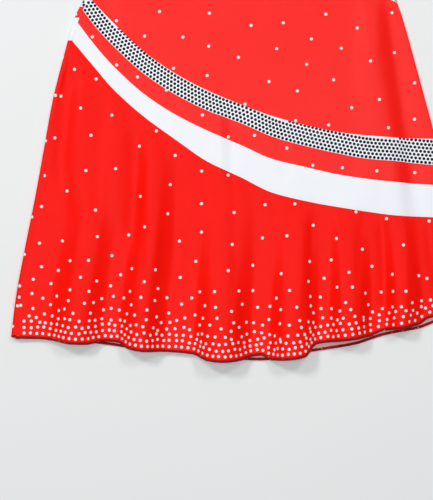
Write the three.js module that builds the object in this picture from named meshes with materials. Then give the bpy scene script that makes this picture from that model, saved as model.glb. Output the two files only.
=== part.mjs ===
// A sleeveless stretch cheerleader dress, laid flat on its back on a table. Sizes are in millimetres.
// X runs across the dress, Y from the hem up to the shoulders, and Z up from the table.
// The back lies flat. At the left side it wraps round the fold and meets the front at a seam that lies
// a few millimetres in on the upper side. At the right side the two meet at the outermost fold.
import * as THREE from 'three';

// Cloth and how it lies
const CLOTH = 1.2; // thickness of a wall of cloth
const HEM_ROLL = 2.6; // thickness of the rolled hem
const SEAM_GAP = 0.3; // the space between two sewn pieces
const FRONT_LEVEL = 2.3; // middle of the front's cloth over the table, where it lies on the back
const EDGE_LIFT = 1.6; // how much higher the front lies at the side folds
const EDGE_SOFT = 16; // how far in from a side fold that lift fades
const EDGE_IN = 2.4; // the outermost strip, where the cloth turns over
const SEAM_IN = 5.5; // the left side seam, in from the outline
const CROWN = 1.2; // how much the middle of the front stands over its sides
const HEM_LEVEL_RISE = 2.1; // how much the front rises towards the hem, to clear the back's rolled hem

// Bodice
const SHOULDER_TOP = 421.5;
const SHOULDER_DROP = 25;
const UNDERARM = 216;
const NECK_SHARE = 0.6; // width of the neck, as a share of the width between the armholes
const FRONT_NECK_DEPTH = 115;
const BACK_NECK_DEPTH = 45;

// Diagonal sash on the front: heights of its lower edge at the two sides, how far it bows up between
// them, and its height measured upright
const SASH = { left: 168, right: -29, bow: 8, height: 34 };

// Armholes, from the shoulder down to the underarm: height, left side, right side
const ARMHOLES = [
  { y: 421.5, left: -152, right: 152 },
  { y: 396.5, left: -150, right: 150 },
  { y: 355, left: -142, right: 142 },
  { y: 310, left: -138, right: 138 },
  { y: 270, left: -141, right: 141 },
  { y: 240, left: -152, right: 152 },
  { y: 224, left: -168, right: 168 },
  { y: UNDERARM, left: -190, right: 190 },
];

// Sides of the dress, from the underarm down to the hem corners: height, left side, right side
const SIDES = [
  { y: UNDERARM, left: -190, right: 190 },
  { y: 150, left: -174, right: 174 },
  { y: 90, left: -159, right: 159 },
  { y: 36, left: -153, right: 153 },
  { y: -24, left: -171, right: 173 },
  { y: -44, left: -180, right: 180 },
  { y: -90, left: -193, right: 193 },
  { y: -134, left: -204, right: 205 },
  { y: -189, left: -214, right: 220 },
  { y: -244, left: -224, right: 236 },
  { y: -299, left: -235, right: 246 },
  { y: -354, left: -245, right: 249.8 },
  { y: -396, left: -250, right: 250 },
];

// Upper edges of the bands and the flounce on the front, followed across the dress
const FRONT_EDGES = [
  { x: -183, dots: -1, strip: -19, white: -41, flounce: -69 },
  { x: -157, dots: -29, strip: -54, white: -75, flounce: -100 },
  { x: -139, dots: -48, strip: -73.5, white: -95.5, flounce: -121 },
  { x: -104, dots: -81, strip: -105.5, white: -127.5, flounce: -152.5 },
  { x: -69, dots: -105.5, strip: -128.5, white: -150.5, flounce: -178 },
  { x: -34, dots: -124, strip: -146, white: -168, flounce: -202 },
  { x: 2, dots: -139, strip: -159.5, white: -183.5, flounce: -219 },
  { x: 37, dots: -152, strip: -174.5, white: -199, flounce: -236 },
  { x: 72, dots: -161.5, strip: -184.5, white: -207.5, flounce: -245 },
  { x: 107, dots: -169, strip: -192.5, white: -215.5, flounce: -251.5 },
  { x: 142, dots: -173.5, strip: -199, white: -221, flounce: -257 },
  { x: 178, dots: -176, strip: -202, white: -225, flounce: -261.5 },
  { x: 213, dots: -177, strip: -205.5, white: -227.5, flounce: -263 },
  { x: 245, dots: -177.5, strip: -207, white: -230, flounce: -265 },
];

// The same edges where they reach the two sides of the back. Between, each is a smooth slope.
const BACK_EDGES = {
  dots: { left: -11, right: -177.5 },
  strip: { left: -32, right: -207 },
  white: { left: -44, right: -230 },
  flounce: { left: -69, right: -265 },
};

// Lowest line of the front's hem. It pulls up where the cloth of a flute turns under.
const FRONT_HEM = [
  { x: -250, y: -396.5 },
  { x: -218, y: -397 },
  { x: -201, y: -399 },
  { x: -183, y: -402 },
  { x: -166, y: -402.5 },
  { x: -147, y: -399.5 },
  { x: -133, y: -400.5 },
  { x: -121, y: -407 },
  { x: -104, y: -410 },
  { x: -78, y: -411 },
  { x: -51, y: -413.5 },
  { x: -34, y: -420 },
  { x: -16, y: -421.5 },
  { x: 2, y: -420 },
  { x: 13, y: -416.5 },
  { x: 24, y: -415 },
  { x: 37, y: -420 },
  { x: 54, y: -419 },
  { x: 72, y: -416 },
  { x: 86, y: -402.5 },
  { x: 107, y: -399.5 },
  { x: 144, y: -394 },
  { x: 157, y: -388.5 },
  { x: 178, y: -385 },
  { x: 198, y: -381 },
  { x: 208, y: -374.5 },
  { x: 227, y: -370 },
  { x: 250, y: -364 },
];

// Lowest line of the back's hem, which is smooth and shows below the front's where that pulls up
const BACK_HEM = [
  { x: -250, y: -395 },
  { x: -201, y: -397.5 },
  { x: -147, y: -403 },
  { x: -104, y: -409 },
  { x: -51, y: -412.5 },
  { x: -16, y: -418.5 },
  { x: 24, y: -420.5 },
  { x: 54, y: -417 },
  { x: 81, y: -411 },
  { x: 127, y: -403.5 },
  { x: 160, y: -393 },
  { x: 198, y: -385.5 },
  { x: 214, y: -379.5 },
  { x: 250, y: -366 },
];

// Flutes of the front flounce, by where they stand at the hem: middle and width of the rise and of the
// fall, and how high the flute stands there
const FLUTES = [
  { rise: -200, riseWidth: 24, fall: -158, fallWidth: 22, height: 15 },
  { rise: -125, riseWidth: 17, fall: -90, fallWidth: 22, height: 17 },
  { rise: -42, riseWidth: 18, fall: 4, fallWidth: 22, height: 20 },
  { rise: 40, riseWidth: 16, fall: 79, fallWidth: 16, height: 20 },
  { rise: 104, riseWidth: 14, fall: 138, fallWidth: 15, height: 17 },
  { rise: 165, riseWidth: 13, fall: 192, fallWidth: 20, height: 16 },
];
const FLUTE_START = 30; // the flutes begin this far above the flounce's seam
const FLUTE_DOME = 0.32; // share of a flute's height that is a round top rather than a level one
const FLUTE_GROWTH = 1.4; // above 1, they open faster towards the hem

// Soft ridges that run down the front: upper end, lower end, half width and height
const RIDGES = [
  { x1: 138, y1: -20, x2: 148, y2: -262, width: 13, height: 3.2 },
  { x1: -96, y1: 60, x2: -138, y2: -60, width: 16, height: 1.6 },
  { x1: 20, y1: 120, x2: -30, y2: -60, width: 20, height: 1.4 },
  { x1: -70, y1: 190, x2: 60, y2: 70, width: 15, height: 1.8 },
];

// How finely the walls are divided
const FRONT_NECK_COLUMNS = 20;
const BACK_NECK_COLUMNS = 12;
const FRONT_STRAP_COLUMNS = 4;
const BACK_STRAP_COLUMNS = 6;
const FLOUNCE_COLUMNS = 104;
const BACK_FLOUNCE_COLUMNS = 36;
const FLOUNCE_ROWS = 10;
const EDGE_COLUMNS = 3;
const ROLL_SIDES = 6;
const ROW_CROWDING = 1.7; // rows of a bodice piece crowd towards the underarm

// How finely the sheets are searched and followed
const SEARCH_REACH = 440; // past every edge
const SEARCH_HALVINGS = 40;
const COLUMN_STEP = 1e-3;

const COLOURS = {
  red: 0xf02a22,
  white: 0xf3f5fa,
  dotted: 0xc4c7d4,
  hem: 0xa81412,
};

// Curves through a table

const mix = (a, b, share) => a + (b - a) * share;
const clamp01 = (value) => Math.min(1, Math.max(0, value));
const smooth = (value) => {
  const s = clamp01(value);
  return s * s * (3 - 2 * s);
};

// A smooth curve through the rows of a table, that never runs past a high or low row
function through(rows, key, value) {
  const sorted = [...rows].sort((a, b) => a[key] - b[key]);
  const at = sorted.map((row) => row[key]);
  const val = sorted.map((row) => row[value]);
  const slope = at.slice(1).map((end, i) => (val[i + 1] - val[i]) / (end - at[i]));
  const tangent = val.map((_, i) => {
    if (i === 0) return slope[0];
    if (i === slope.length) return slope[i - 1];
    const [before, after] = [slope[i - 1], slope[i]];
    return before * after <= 0 ? 0 : (2 * before * after) / (before + after);
  });
  return (position) => {
    if (position <= at[0]) return val[0];
    if (position >= at[at.length - 1]) return val[val.length - 1];
    const i = at.findIndex((end) => end > position) - 1;
    const span = at[i + 1] - at[i];
    const s = (position - at[i]) / span;
    const s2 = s * s;
    const s3 = s2 * s;
    return (2 * s3 - 3 * s2 + 1) * val[i] + (s3 - 2 * s2 + s) * span * tangent[i]
      + (3 * s2 - 2 * s3) * val[i + 1] + (s3 - s2) * span * tangent[i + 1];
  };
}

const [leftArmhole, leftSeam] = [through(ARMHOLES, 'y', 'left'), through(SIDES, 'y', 'left')];
const [rightArmhole, rightSeam] = [through(ARMHOLES, 'y', 'right'), through(SIDES, 'y', 'right')];
const leftSide = (y) => (y > UNDERARM ? leftArmhole(y) : leftSeam(y));
const rightSide = (y) => (y > UNDERARM ? rightArmhole(y) : rightSeam(y));
const frontHem = through(FRONT_HEM, 'x', 'y');
const backHem = through(BACK_HEM, 'x', 'y');
const HEM_LEFT = FRONT_HEM[0].x;
const HEM_RIGHT = FRONT_HEM[FRONT_HEM.length - 1].x;

const frontEdge = Object.fromEntries(
  Object.keys(BACK_EDGES).map((band) => [band, through(FRONT_EDGES, 'x', band)]),
);
const backEdge = Object.fromEntries(
  Object.entries(BACK_EDGES).map(([band, { left, right }]) => [
    band,
    (x) => mix(left, right, smooth((x - leftSide(left)) / (rightSide(right) - leftSide(left)))),
  ]),
);

function sashLower(x) {
  const share = clamp01((x - leftSide(SASH.left)) / (rightSide(SASH.right) - leftSide(SASH.left)));
  return mix(SASH.left, SASH.right, share) + SASH.bow * 4 * share * (1 - share);
}
const sashUpper = (x) => sashLower(x) + SASH.height;

// The shoulders and the neck, from the share of the width between the armholes
function neckOrShoulder(share, depth) {
  const out = Math.abs(2 * share - 1);
  if (out < NECK_SHARE) return SHOULDER_TOP - depth * Math.sqrt(1 - (out / NECK_SHARE) ** 2);
  return SHOULDER_TOP - (SHOULDER_DROP * (out - NECK_SHARE)) / (1 - NECK_SHARE);
}

// Height of the front's cloth over the table

function fluteHeight(hemX) {
  return FLUTES.reduce((sum, { rise, riseWidth, fall, fallWidth, height }) => {
    const up = smooth((hemX - rise) / riseWidth + 0.5);
    const down = smooth((hemX - fall) / fallWidth + 0.5);
    const dome = Math.sin(Math.PI * clamp01((hemX - rise) / (fall - rise))) ** 2;
    return sum + height * mix(up - down, dome, FLUTE_DOME);
  }, 0);
}

function ridgeHeight(x, y) {
  return RIDGES.reduce((sum, { x1, y1, x2, y2, width, height }) => {
    const along = (y - y1) / (y2 - y1);
    const away = (x - mix(x1, x2, along)) / width;
    const fade = smooth(along * 4) * smooth((1 - along) * 4);
    return sum + height * fade * Math.exp(-away * away);
  }, 0);
}

function frontHeight(x, y) {
  const [left, right] = [leftSide(y), rightSide(y)];
  const across = clamp01((x - left) / (right - left));
  const fromEdge = Math.max(0, Math.min(x - left, right - x) - EDGE_IN);
  const seam = frontEdge.flounce(x);
  const hem = frontHem(x);
  const down = clamp01((seam - y) / (seam - hem));
  const opened = clamp01((seam + FLUTE_START - y) / (seam + FLUTE_START - hem)) ** FLUTE_GROWTH;
  const inside = 1 - Math.exp(-((fromEdge / EDGE_SOFT) ** 2));
  return FRONT_LEVEL
    + EDGE_LIFT * (1 - inside)
    + CROWN * Math.sin(Math.PI * across) * inside
    + HEM_LEVEL_RISE * down
    + fluteHeight(mix(HEM_LEFT, HEM_RIGHT, across)) * opened
    + ridgeHeight(x, y);
}

// The two sheets of cloth, as the middle of a wall. A place on a sheet is a column and a height y.
// Columns 0 to 1 cross the sheet's face, and columns past them turn round the side folds.

function turn(y, side, half) {
  const outline = side === 'left' ? leftSide(y) : rightSide(y);
  const inward = side === 'left' ? 1 : -1;
  const top = frontHeight(outline + inward * EDGE_IN, y);
  const radius = (top - half) / 2;
  return { x: outline + inward * (half + radius), radius, level: half + radius };
}

function frontPoint(column, y, half) {
  const right = turn(y, 'right', half);
  if (column > 1) {
    const angle = ((column - 1) * Math.PI) / 2;
    return new THREE.Vector3(
      right.x + right.radius * Math.sin(angle), y, right.level + right.radius * Math.cos(angle),
    );
  }
  const start = leftSide(y) + SEAM_IN + SEAM_GAP / 2;
  const x = mix(start, right.x, column);
  return new THREE.Vector3(x, y, frontHeight(x, y));
}

function backPoint(column, y, half) {
  const left = turn(y, 'left', half);
  const right = turn(y, 'right', half);
  if (column > 1) {
    const angle = ((column - 1) * Math.PI) / 2;
    return new THREE.Vector3(
      right.x + right.radius * Math.sin(angle), y, right.level - right.radius * Math.cos(angle),
    );
  }
  if (column >= 0) return new THREE.Vector3(mix(left.x, right.x, column), y, half);
  if (column >= -1) {
    const angle = column * Math.PI;
    return new THREE.Vector3(
      left.x + left.radius * Math.sin(angle), y, left.level - left.radius * Math.cos(angle),
    );
  }
  const x = mix(left.x, leftSide(y) + SEAM_IN - SEAM_GAP / 2, -1 - column);
  return new THREE.Vector3(x, y, frontHeight(x, y));
}

// The turned edges stop where their cloth meets the next piece
const RIGHT_EDGE_END = 1.96;
const EDGE_STEPS = Array.from({ length: EDGE_COLUMNS }, (_, i) => (i + 1) / EDGE_COLUMNS);
const rightTurn = EDGE_STEPS.map((share) => 1 + share * (RIGHT_EDGE_END - 1));
const leftTurn = [-2, ...Array.from({ length: 2 * EDGE_COLUMNS }, (_, i) => -1 + i / (2 * EDGE_COLUMNS))];

const evenly = (count) => Array.from({ length: count + 1 }, (_, i) => i / count);

// Columns that are evenly spaced along the waving hem
function hemColumns(count) {
  const samples = evenly(count * 12);
  const points = samples.map((column) => {
    const hem = frontHem(mix(HEM_LEFT, HEM_RIGHT, column));
    return frontPoint(column, hem, CLOTH / 2);
  });
  const length = [0];
  for (let i = 1; i < points.length; i += 1) {
    length.push(length[i - 1] + Math.hypot(points[i].x - points[i - 1].x, points[i].z - points[i - 1].z));
  }
  return evenly(count).map((share) => {
    const goal = share * length[length.length - 1];
    const i = Math.max(1, length.findIndex((reached) => reached >= goal));
    return mix(samples[i - 1], samples[i], (goal - length[i - 1]) / (length[i] - length[i - 1]));
  });
}

// Columns for the bodice, closer together where the neck falls steeply
function neckColumns(count, strapCount) {
  const half = evenly(count / 2).slice(1);
  const inNeck = half.map((share) => NECK_SHARE * Math.sin((share * Math.PI) / 2));
  const strap = evenly(strapCount).slice(1).map((share) => mix(NECK_SHARE, 1, share));
  const outward = [...inNeck, ...strap];
  return [...outward.map((out) => (1 - out) / 2).reverse(), 0.5, ...outward.map((out) => (1 + out) / 2)];
}

const FRONT = { point: frontPoint, before: [], after: rightTurn };
const BACK = { point: backPoint, before: leftTurn, after: rightTurn };

// The height where a column of a sheet crosses an edge, moved along the sheet by shift
function crossing(sheet, column, half, edge, shift) {
  let [low, high] = [-SEARCH_REACH, SEARCH_REACH];
  for (let i = 0; i < SEARCH_HALVINGS; i += 1) {
    const y = (low + high) / 2;
    if (y < edge(sheet.point(column, y, half).x)) low = y;
    else high = y;
  }
  const { x } = sheet.point(column, low, half);
  const slope = (edge(x + 1) - edge(x - 1)) / 2;
  return low + shift * Math.hypot(1, slope);
}

function normalAt(sheet, column, y, half) {
  const alongColumn = sheet.point(column, y + 1, half).sub(sheet.point(column, y - 1, half));
  const after = sheet.point(column + COLUMN_STEP, y, half);
  const across = after.sub(sheet.point(column - COLUMN_STEP, y, half));
  return across.cross(alongColumn).normalize();
}

function clothMesh(name, colour, positions, triangles) {
  const geometry = new THREE.BufferGeometry();
  geometry.setAttribute('position', new THREE.Float32BufferAttribute(positions, 3));
  geometry.setIndex(triangles);
  geometry.computeVertexNormals();
  const material = new THREE.MeshStandardMaterial({ color: colour, roughness: 0.62, metalness: 0 });
  const mesh = new THREE.Mesh(geometry, material);
  mesh.name = name;
  return mesh;
}

// A wall of cloth on a grid of columns and rows. heights gives a column's row heights, and a cell that
// isn't kept leaves the wall open there.
function clothWall(name, colour, sheet, columns, heights, keep = () => true) {
  const half = CLOTH / 2;
  const positions = [];
  const levels = columns.map((column) => heights(column));
  const rowCount = levels[0].length;
  const [front, back] = [1, -1].map((sideSign) => columns.map((column, i) => levels[i].map((y) => {
    const normal = normalAt(sheet, column, y, half);
    const place = sheet.point(column, y, half).addScaledVector(normal, sideSign * half);
    positions.push(place.x, place.y, place.z);
    return positions.length / 3 - 1;
  })));
  const triangles = [];
  const quad = (a, b, c, d) => triangles.push(a, b, c, a, c, d);
  const kept = (i, j) => i >= 0 && j >= 0 && i < columns.length - 1 && j < rowCount - 1
    && keep((columns[i] + columns[i + 1]) / 2, (levels[i][j] + levels[i + 1][j + 1]) / 2);
  for (let i = 0; i < columns.length - 1; i += 1) {
    for (let j = 0; j < rowCount - 1; j += 1) {
      if (kept(i, j)) {
        quad(front[i][j], front[i + 1][j], front[i + 1][j + 1], front[i][j + 1]);
        quad(back[i][j], back[i][j + 1], back[i + 1][j + 1], back[i + 1][j]);
        const sides = [
          { open: !kept(i, j - 1), from: [i, j], to: [i + 1, j] },
          { open: !kept(i + 1, j), from: [i + 1, j], to: [i + 1, j + 1] },
          { open: !kept(i, j + 1), from: [i + 1, j + 1], to: [i, j + 1] },
          { open: !kept(i - 1, j), from: [i, j + 1], to: [i, j] },
        ];
        sides.filter((side) => side.open).forEach(({ from, to }) => {
          quad(back[from[0]][from[1]], back[to[0]][to[1]], front[to[0]][to[1]], front[from[0]][from[1]]);
        });
      }
    }
  }
  return clothMesh(name, colour, positions, triangles);
}

// A piece between a lower and an upper edge, each of which runs across the sheet
function panel(name, colour, sheet, faceColumns, rows, lower, upper, lowerShift = SEAM_GAP / 2) {
  const half = CLOTH / 2;
  const columns = [...sheet.before, ...faceColumns, ...sheet.after];
  return clothWall(name, colour, sheet, columns, (column) => {
    const low = crossing(sheet, column, half, lower, lowerShift);
    const high = crossing(sheet, column, half, upper, -SEAM_GAP / 2);
    return evenly(rows).map((share) => mix(low, high, share));
  });
}

// A bodice piece from an edge up to the neck and shoulders. The cloth turns round the sides only below
// the underarm.
function bodice(name, sheet, faceColumns, rowsBelow, rowsAbove, lower, neckDepth) {
  const half = CLOTH / 2;
  const columns = [...sheet.before, ...faceColumns, ...sheet.after];
  const heights = (column) => {
    const low = crossing(sheet, column, half, lower, SEAM_GAP / 2);
    const top = neckOrShoulder(clamp01(column), neckDepth);
    const below = evenly(rowsBelow).map((share) => mix(low, UNDERARM, share));
    const above = evenly(rowsAbove).slice(1).map((share) => mix(UNDERARM, top, share ** ROW_CROWDING));
    return [...below, ...above];
  };
  const keep = (column, y) => (column > 0 && column < 1) || y < UNDERARM;
  return clothWall(name, COLOURS.red, sheet, columns, heights, keep);
}

// The rolled hem, a round edge that runs along the lowest line of a sheet
function rolledHem(name, sheet, faceColumns, hem) {
  const half = HEM_ROLL / 2;
  const columns = [...sheet.before, ...faceColumns, ...sheet.after];
  const middle = (column) => sheet.point(column, crossing(sheet, column, half, hem, half), half);
  const positions = [];
  const rings = columns.map((column) => {
    const centre = middle(column);
    const along = middle(column + COLUMN_STEP).sub(middle(column - COLUMN_STEP)).normalize();
    const out = normalAt(sheet, column, centre.y, half);
    const side = out.clone().cross(along).normalize();
    const up = along.clone().cross(side);
    return evenly(ROLL_SIDES).slice(1).map((share) => {
      const angle = 2 * Math.PI * share;
      const place = centre.clone()
        .addScaledVector(side, half * Math.cos(angle))
        .addScaledVector(up, half * Math.sin(angle));
      positions.push(place.x, place.y, place.z);
      return positions.length / 3 - 1;
    });
  });
  const triangles = [];
  for (let i = 0; i < rings.length - 1; i += 1) {
    for (let k = 0; k < ROLL_SIDES; k += 1) {
      const next = (k + 1) % ROLL_SIDES;
      const [a, b, c, d] = [rings[i][k], rings[i][next], rings[i + 1][next], rings[i + 1][k]];
      triangles.push(a, b, c, a, c, d);
    }
  }
  const last = rings[rings.length - 1];
  for (let k = 1; k < ROLL_SIDES - 1; k += 1) {
    triangles.push(rings[0][0], rings[0][k + 1], rings[0][k], last[0], last[k], last[k + 1]);
  }
  return clothMesh(name, COLOURS.hem, positions, triangles);
}

// The dress

const dress = new THREE.Group();
const frontFace = neckColumns(FRONT_NECK_COLUMNS, FRONT_STRAP_COLUMNS);
const backFace = neckColumns(BACK_NECK_COLUMNS, BACK_STRAP_COLUMNS);
const fluted = hemColumns(FLOUNCE_COLUMNS);
const flat = evenly(BACK_FLOUNCE_COLUMNS);
const aboveHem = HEM_ROLL + SEAM_GAP;
const { red, white, dotted } = COLOURS;

dress.add(bodice('front_top', FRONT, frontFace, 7, 8, sashUpper, FRONT_NECK_DEPTH));
dress.add(panel('front_sash', dotted, FRONT, frontFace, 2, sashLower, sashUpper));
dress.add(panel('front_body', red, FRONT, frontFace, 12, frontEdge.dots, sashLower));
dress.add(panel('front_dotted_band', dotted, FRONT, frontFace, 2, frontEdge.strip, frontEdge.dots));
dress.add(panel('front_red_strip', red, FRONT, frontFace, 2, frontEdge.white, frontEdge.strip));
dress.add(panel('front_white_band', white, FRONT, frontFace, 2, frontEdge.flounce, frontEdge.white));
dress.add(panel('front_flounce', red, FRONT, fluted, FLOUNCE_ROWS, frontHem, frontEdge.flounce, aboveHem));
dress.add(rolledHem('front_hem', FRONT, fluted, frontHem));

dress.add(bodice('back_body', BACK, backFace, 14, 8, backEdge.dots, BACK_NECK_DEPTH));
dress.add(panel('back_dotted_band', dotted, BACK, backFace, 1, backEdge.strip, backEdge.dots));
dress.add(panel('back_red_strip', red, BACK, backFace, 1, backEdge.white, backEdge.strip));
dress.add(panel('back_white_band', white, BACK, backFace, 1, backEdge.flounce, backEdge.white));
dress.add(panel('back_flounce', red, BACK, flat, FLOUNCE_ROWS, backHem, backEdge.flounce, aboveHem));
dress.add(rolledHem('back_hem', BACK, flat, backHem));

export default dress;
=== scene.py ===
"""A sleeveless cheerleader dress of printed stretch knit, laid flat on a pale table.

Run as a script, it builds the dress piece by piece round the solids of the frame.
"""
import math

import bpy
import numpy as np
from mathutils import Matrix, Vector


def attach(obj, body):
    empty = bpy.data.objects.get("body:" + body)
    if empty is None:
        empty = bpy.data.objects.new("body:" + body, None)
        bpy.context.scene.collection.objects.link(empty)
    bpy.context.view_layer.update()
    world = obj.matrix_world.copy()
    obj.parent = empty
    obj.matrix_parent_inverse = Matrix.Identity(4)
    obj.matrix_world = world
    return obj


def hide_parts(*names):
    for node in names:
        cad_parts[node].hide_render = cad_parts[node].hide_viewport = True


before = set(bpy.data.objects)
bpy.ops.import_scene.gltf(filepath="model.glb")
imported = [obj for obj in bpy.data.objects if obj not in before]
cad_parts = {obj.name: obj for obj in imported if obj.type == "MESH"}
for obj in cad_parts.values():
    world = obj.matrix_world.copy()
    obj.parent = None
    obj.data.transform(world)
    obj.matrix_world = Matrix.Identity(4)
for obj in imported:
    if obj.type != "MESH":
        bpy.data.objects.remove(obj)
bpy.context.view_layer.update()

bl_info = {
    "name": "Cheerleader dress",
    "version": (1, 0, 0),
    "blender": (4, 5, 0),
    "location": "View3D > Sidebar > Dress",
    "description": "Builds a cheerleader dress of printed stretch knit, laid flat",
    "category": "Add Mesh",
}

# Sizes of the cloth are in millimetres, in the frame of the solids
MM = 0.001
HEM_ROLL = 2.6
SEAM_GAP = 0.04  # between two sewn pieces
SIDE_GAP = 0.1  # between the front and the back at the left side seam
SEAM_IN = 5.5  # how far that seam lies in from the side fold
FRONT_LEVEL = 2.3  # the height of the front cloth, with its rise near the sides and in the middle
EDGE_LIFT = 1.6
EDGE_SOFT = 16
EDGE_IN = 2.4
CROWN = 1.2
HEM_LEVEL_RISE = 2.1
SHOULDER_TOP = 421.5
SHOULDER_DROP = 25
UNDERARM = 216
NECK_SHARE = 0.6
FRONT_NECK_DEPTH = 115
BACK_NECK_DEPTH = 45
SASH_LEFT, SASH_RIGHT, SASH_BOW, SASH_HEIGHT = 168, -29, 8, 34
PHOTO_SCALE = 1.1  # millimetres for each pixel of the photograph
PHOTO_SIZE = (433, 500)
PHOTO_MIDDLE = (-24.2, -299.0)  # the point of the cloth in the middle of the photograph


def table(columns, rows):
    """Rows of values, as dictionaries with named columns."""
    return [dict(zip(columns.split(), row)) for row in rows]


ARMHOLES = table("y left right", [
    (421.5, -152, 152), (396.5, -150, 150), (355, -142, 142), (310, -138, 138),
    (270, -141, 141), (240, -152, 152), (224, -168, 168), (UNDERARM, -190, 190),
])
SIDES = table("y left right", [
    (UNDERARM, -190, 190), (150, -174, 174), (90, -159, 159), (36, -153, 153),
    (-24, -171, 173), (-44, -180, 180), (-90, -193, 193), (-134, -204, 205),
    (-189, -214, 220), (-244, -224, 236), (-299, -235, 246), (-354, -245, 249.8), (-396, -250, 250),
])
FRONT_EDGES = table("x dots strip white flounce", [
    (-183, -1, -19, -41, -69), (-157, -29, -54, -75, -100), (-139, -48, -73.5, -95.5, -121),
    (-104, -81, -105.5, -127.5, -152.5), (-69, -105.5, -128.5, -150.5, -178),
    (-34, -124, -146, -168, -202), (2, -139, -159.5, -183.5, -219), (37, -152, -174.5, -199, -236),
    (72, -161.5, -184.5, -207.5, -245), (107, -169, -192.5, -215.5, -251.5),
    (142, -173.5, -199, -221, -257), (178, -176, -202, -225, -261.5),
    (213, -177, -205.5, -227.5, -263), (245, -177.5, -207, -230, -265),
])
BACK_EDGES = {"dots": (-11, -177.5), "strip": (-32, -207), "white": (-44, -230), "flounce": (-69, -265)}
FRONT_HEM = table("x y", [
    (-250, -396.5), (-218, -397), (-201, -399), (-183, -402), (-166, -402.5), (-147, -399.5),
    (-133, -400.5), (-121, -407), (-104, -410), (-78, -411), (-51, -413.5), (-34, -420),
    (-16, -421.5), (2, -420), (13, -416.5), (24, -415), (37, -420), (54, -419), (72, -416),
    (86, -402.5), (107, -399.5), (144, -394), (157, -388.5), (178, -385), (198, -381),
    (208, -374.5), (227, -370), (250, -364),
])
BACK_HEM = table("x y", [
    (-250, -395), (-201, -397.5), (-147, -403), (-104, -409), (-51, -412.5), (-16, -418.5),
    (24, -420.5), (54, -417), (81, -411), (127, -403.5), (160, -393), (198, -385.5),
    (214, -379.5), (250, -366),
])
FLUTES = table("rise rise_width fall fall_width height", [
    (-200, 24, -158, 22, 15), (-125, 17, -90, 22, 17), (-42, 18, 4, 22, 20),
    (40, 16, 79, 16, 20), (104, 14, 138, 15, 17), (165, 13, 192, 20, 16),
])
FLUTE_DOME = 0.32
FLUTE_START = 30
FLUTE_GROWTH = 1.4
RIDGES = table("x1 y1 x2 y2 width height", [
    (138, -20, 148, -262, 13, 3.2), (-96, 60, -138, -60, 16, 1.6),
    (20, 120, -30, -60, 20, 1.4), (-70, 190, 60, 70, 15, 1.8),
])
# Finer creases: ridges, and troughs where the height is below nothing
CREASES = table("x1 y1 x2 y2 width height", [
    (137, 30, 181, -300, 15, 4.4), (157, 34, 201, -300, 10, -2.4), (-176, -58, -150, -106, 6, -1.4),
    (44, -170, 56, -230, 8, -1.0),
    (-22, -130, -20, -230, 6, 1.8), (-8, -140, -6, -250, 5, -1.3), (-182, -50, -192, -100, 5, -0.9),
    (-183, -78, -200, -240, 9, -2.6), (-168, -92, -182, -270, 10, 2.6), (-148, -116, -158, -272, 9, -2.4),
    (-130, -132, -134, -300, 10, 2.4), (-112, -150, -114, -310, 9, -2.2), (-94, -166, -94, -340, 11, 2.2),
    (-69, -184, -67, -360, 8, -1.4), (-42, -206, -36, -360, 9, 1.2), (-6, -226, -2, -360, 8, -1.4),
    (34, -240, 36, -350, 9, 1.1), (68, -246, 68, -360, 7, 1.2), (80, -256, 77, -390, 5, -1.3),
    (112, -250, 110, -370, 8, 1.1), (134, -256, 131, -350, 6, -1.0), (157, -250, 163, -384, 7, -1.8),
    (180, -256, 196, -380, 7, 1.5), (206, -262, 220, -360, 6, -1.2),
    (96, -20, 104, -170, 12, 0.6), (-60, 20, -96, -80, 9, 0.6), (40, 60, 10, -90, 10, -0.6),
    (-120, 10, -150, -30, 6, -0.7), (100, 160, 60, 40, 8, 0.7), (-110, 200, -60, 110, 7, -0.8),
    (30, 300, 20, 190, 9, 0.6), (-90, 290, -120, 225, 6, 0.9), (96, 300, 124, 228, 6, 0.8),
])
PUCKER_HEIGHT = 0.24  # small gathers along the sewn edges
PUCKER_LENGTH = 9.0
PUCKER_REACH = 5.0
FURROW_DEPTH = 0.3  # how far the cloth dips into a seam
FURROW_REACH = 1.3
HEM_CURL = 1.4  # how far a raised hem curls down
HEM_CURL_REACH = 4.0
HEM_CURL_FULL = 10.0  # the height of a flute that curls the most
FINE_REACH = 6.0  # the fine creases fade out this close to a side fold
CLOTH_HALF = 0.35  # half of the thickness of the cloth
COLUMN_STEP = 1e-3  # small steps that find how the cloth lies at a place
HEIGHT_STEP = 0.2
SEARCH_REACH = 440.0  # past both ends of the dress
SEARCH_HALVINGS = 36


# Curves and heights

def smooth(value):
    s = np.clip(value, 0, 1)
    return s * s * (3 - 2 * s)


def mix(a, b, share):
    return a + (b - a) * share


def unit(vectors):
    return vectors / np.linalg.norm(vectors, axis=-1, keepdims=True)


def walked_along(points, way=0):
    """How far each point of a line or a grid is from the start, along one way of the grid."""
    steps = np.linalg.norm(np.diff(points, axis=way), axis=-1)
    return np.insert(np.cumsum(steps, axis=way), 0, 0, axis=way)


def curve(rows, key, value):
    """A smooth curve through the rows of a table, that never runs past a high or low row."""
    rows = sorted(rows, key=lambda row: row[key])
    at = np.array([row[key] for row in rows], float)
    val = np.array([row[value] for row in rows], float)
    slope = np.diff(val) / np.diff(at)
    before, after = slope[:-1], slope[1:]
    same = before * after > 0
    inner = np.where(same, 2 * before * after / np.where(same, before + after, 1), 0)
    tangent = np.concatenate([slope[:1], inner, slope[-1:]])

    def value_at(position):
        position = np.clip(position, at[0], at[-1])
        i = np.clip(np.searchsorted(at, position, side="right") - 1, 0, len(at) - 2)
        span = at[i + 1] - at[i]
        s = (position - at[i]) / span
        s2, s3 = s * s, s * s * s
        return (
            (2 * s3 - 3 * s2 + 1) * val[i] + (s3 - 2 * s2 + s) * span * tangent[i]
            + (3 * s2 - 2 * s3) * val[i + 1] + (s3 - s2) * span * tangent[i + 1]
        )

    return value_at


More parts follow.
